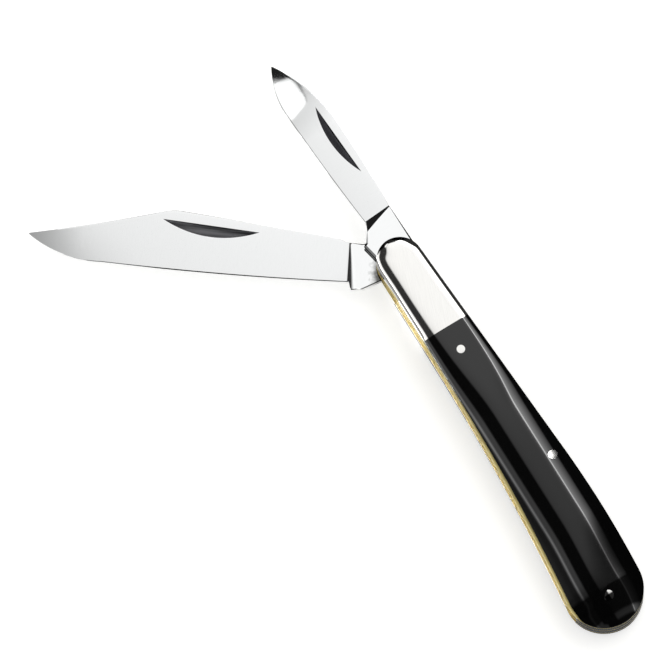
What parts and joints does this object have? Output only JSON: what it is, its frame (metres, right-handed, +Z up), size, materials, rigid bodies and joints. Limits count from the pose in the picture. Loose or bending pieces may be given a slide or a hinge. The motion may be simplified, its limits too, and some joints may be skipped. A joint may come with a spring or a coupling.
{
  "type": "folding pocket knife",
  "caption": "Slip-joint folding pocket knife with a clip-point blade and a small pen blade that fold into a slim teardrop handle with black scales, bright bolsters and brass liners.",
  "frame": {"origin": "on the surface that the knife lies on, under the axis of the blade pivot", "axes": "+X from the pivot along the handle to its butt, +Y to the back of the handle where the springs are, +Z up, out of the side that carries the nail nicks"},
  "size_m": [0.1359, 0.0691, 0.0115],
  "materials": {
    "black_scale": "polished black moulded scale",
    "nickel_silver": "polished nickel silver",
    "brass": "polished sheet brass",
    "blade_steel": "mirror-polished blade steel",
    "spring_steel": "polished spring steel"
  },
  "bodies": {
    "handle": {"front_scale": "black_scale", "rear_scale": "black_scale", "front_bolster": "nickel_silver", "rear_bolster": "nickel_silver", "front_liner": "brass", "rear_liner": "brass", "centre_liner": "brass", "main_spring": "spring_steel", "pen_spring": "spring_steel", "pivot_pin": "nickel_silver", "spring_pin": "nickel_silver", "butt_pin": "nickel_silver", "front_scale_pin": "nickel_silver", "rear_scale_pin": "nickel_silver", "front_bolster_rivets": "brass", "rear_bolster_rivets": "brass"},
    "main_blade": {"main_blade": "blade_steel"},
    "pen_blade": {"pen_blade": "blade_steel"}
  },
  "joints": [
    {"name": "main_blade_pivot", "type": "hinge", "parent": "handle", "child": "main_blade", "pos_m": [0, 0, 0.0046], "axis": [0, 0, -1], "range_deg": [-125.6, 48], "deforming": ["main_spring"]},
    {"name": "pen_blade_pivot", "type": "hinge", "parent": "handle", "child": "pen_blade", "pos_m": [0, 0, 0.007], "axis": [0, 0, -1], "range_deg": [-177, 0], "deforming": ["pen_spring"]}
  ]
}
